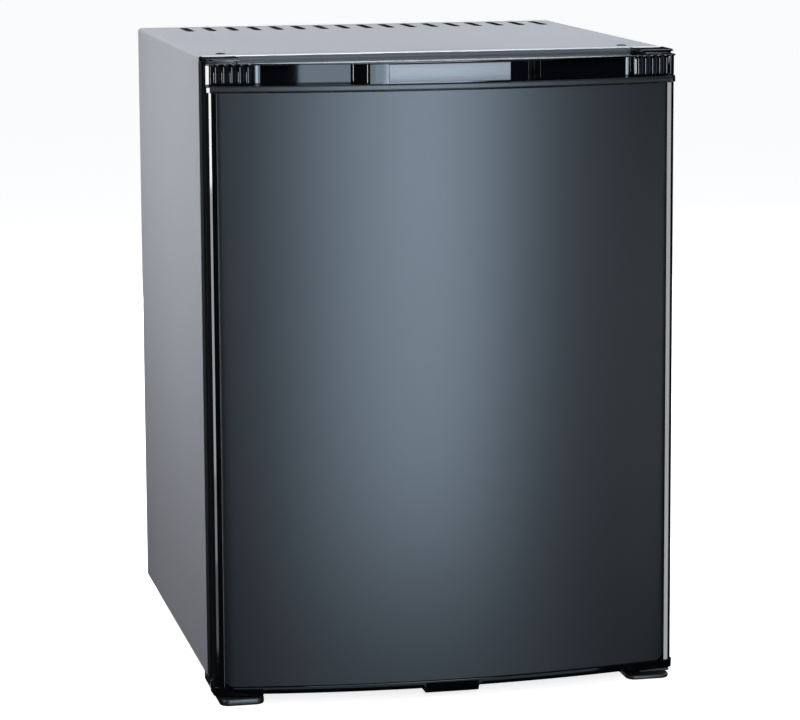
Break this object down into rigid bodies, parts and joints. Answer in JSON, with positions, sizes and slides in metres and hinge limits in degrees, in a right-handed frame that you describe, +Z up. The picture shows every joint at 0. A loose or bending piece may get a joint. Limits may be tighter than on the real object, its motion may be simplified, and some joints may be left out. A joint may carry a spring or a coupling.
{
  "type": "minibar refrigerator",
  "caption": "Free-standing minibar fridge with a bowed dark door hinged at the right, a grip channel along its top edge and an open rear bay with its cooling unit.",
  "frame": {"origin": "on the floor, at the middle of the whole object's box", "axes": "+Z up, -Y towards the door, +X to the right as seen from the front"},
  "size_m": [0.402, 0.4396, 0.5445],
  "materials": {
    "painted_steel": "satin grey paint on sheet steel",
    "charcoal_panel": "satin charcoal",
    "black_gloss": "glossy black moulding",
    "black_plastic": "black moulded plastic",
    "satin_plate": "bare satin plate",
    "liner_plastic": "light grey moulded liner",
    "clear_plastic": "frosted pale plastic",
    "foam": "rigid foam",
    "seal_rubber": "dark grey magnetic seal",
    "zinc_steel": "zinc plated steel",
    "aluminium": "bare aluminium",
    "black_steel": "black painted steel"
  },
  "bodies": {
    "cabinet": {"outer_shell": "painted_steel", "front_frame": "black_plastic", "inner_liner": "liner_plastic", "foam_insulation": "foam", "back_panel": "black_steel", "base_plate": "black_steel", "front_foot_left": "black_plastic", "front_foot_right": "black_plastic", "rear_foot_left": "black_plastic", "rear_foot_right": "black_plastic", "top_hinge_plate": "zinc_steel", "top_hinge_pin": "zinc_steel", "top_hinge_cover": "black_gloss", "top_corner_cover_left": "black_gloss", "top_plug_left": "black_plastic", "top_plug_right": "black_plastic", "bottom_hinge_bracket": "black_steel", "bottom_hinge_pin": "zinc_steel", "evaporator_fins": "aluminium", "drip_channel": "liner_plastic", "shelf_upper": "clear_plastic", "shelf_lower": "clear_plastic", "control_box": "liner_plastic", "lamp_lens": "clear_plastic", "mounting_bar_lower": "zinc_steel", "mounting_bar_upper": "zinc_steel", "boiler_jacket": "zinc_steel", "heater_cartridge": "black_steel", "heater_lead": "black_plastic", "terminal_box": "black_plastic", "power_inlet": "black_plastic", "condenser": "aluminium", "rectifier_pipe": "black_steel", "evaporator_pipe": "black_steel", "heat_exchanger": "black_steel", "absorber_coil": "black_steel", "absorber_vessel": "black_steel", "drain_tube": "liner_plastic", "evaporation_dish": "black_plastic"},
    "door": {"door_panel": "charcoal_panel", "door_side_trim_left": "black_gloss", "door_side_trim_right": "black_gloss", "door_top_moulding": "black_gloss", "handle_plate": "satin_plate", "door_bottom_moulding": "black_gloss", "door_foam": "foam", "door_inner_liner": "liner_plastic", "door_gasket": "seal_rubber", "door_bin_lower": "clear_plastic", "door_bin_upper": "clear_plastic", "bottle_rail": "aluminium", "door_bush_top": "liner_plastic", "door_bush_bottom": "liner_plastic"},
    "knob": {"thermostat_knob": "black_plastic"}
  },
  "joints": [
    {"name": "door_swing", "type": "hinge", "parent": "cabinet", "child": "door", "pos_m": [0.189, -0.18525, 0.27], "axis": [0, 0, 1], "range_deg": [0, 120]},
    {"name": "thermostat_turn", "type": "hinge", "parent": "cabinet", "child": "knob", "pos_m": [0.034, -0.07855, 0.4947], "axis": [0, 1, 0], "range_deg": [0, 270]}
  ]
}
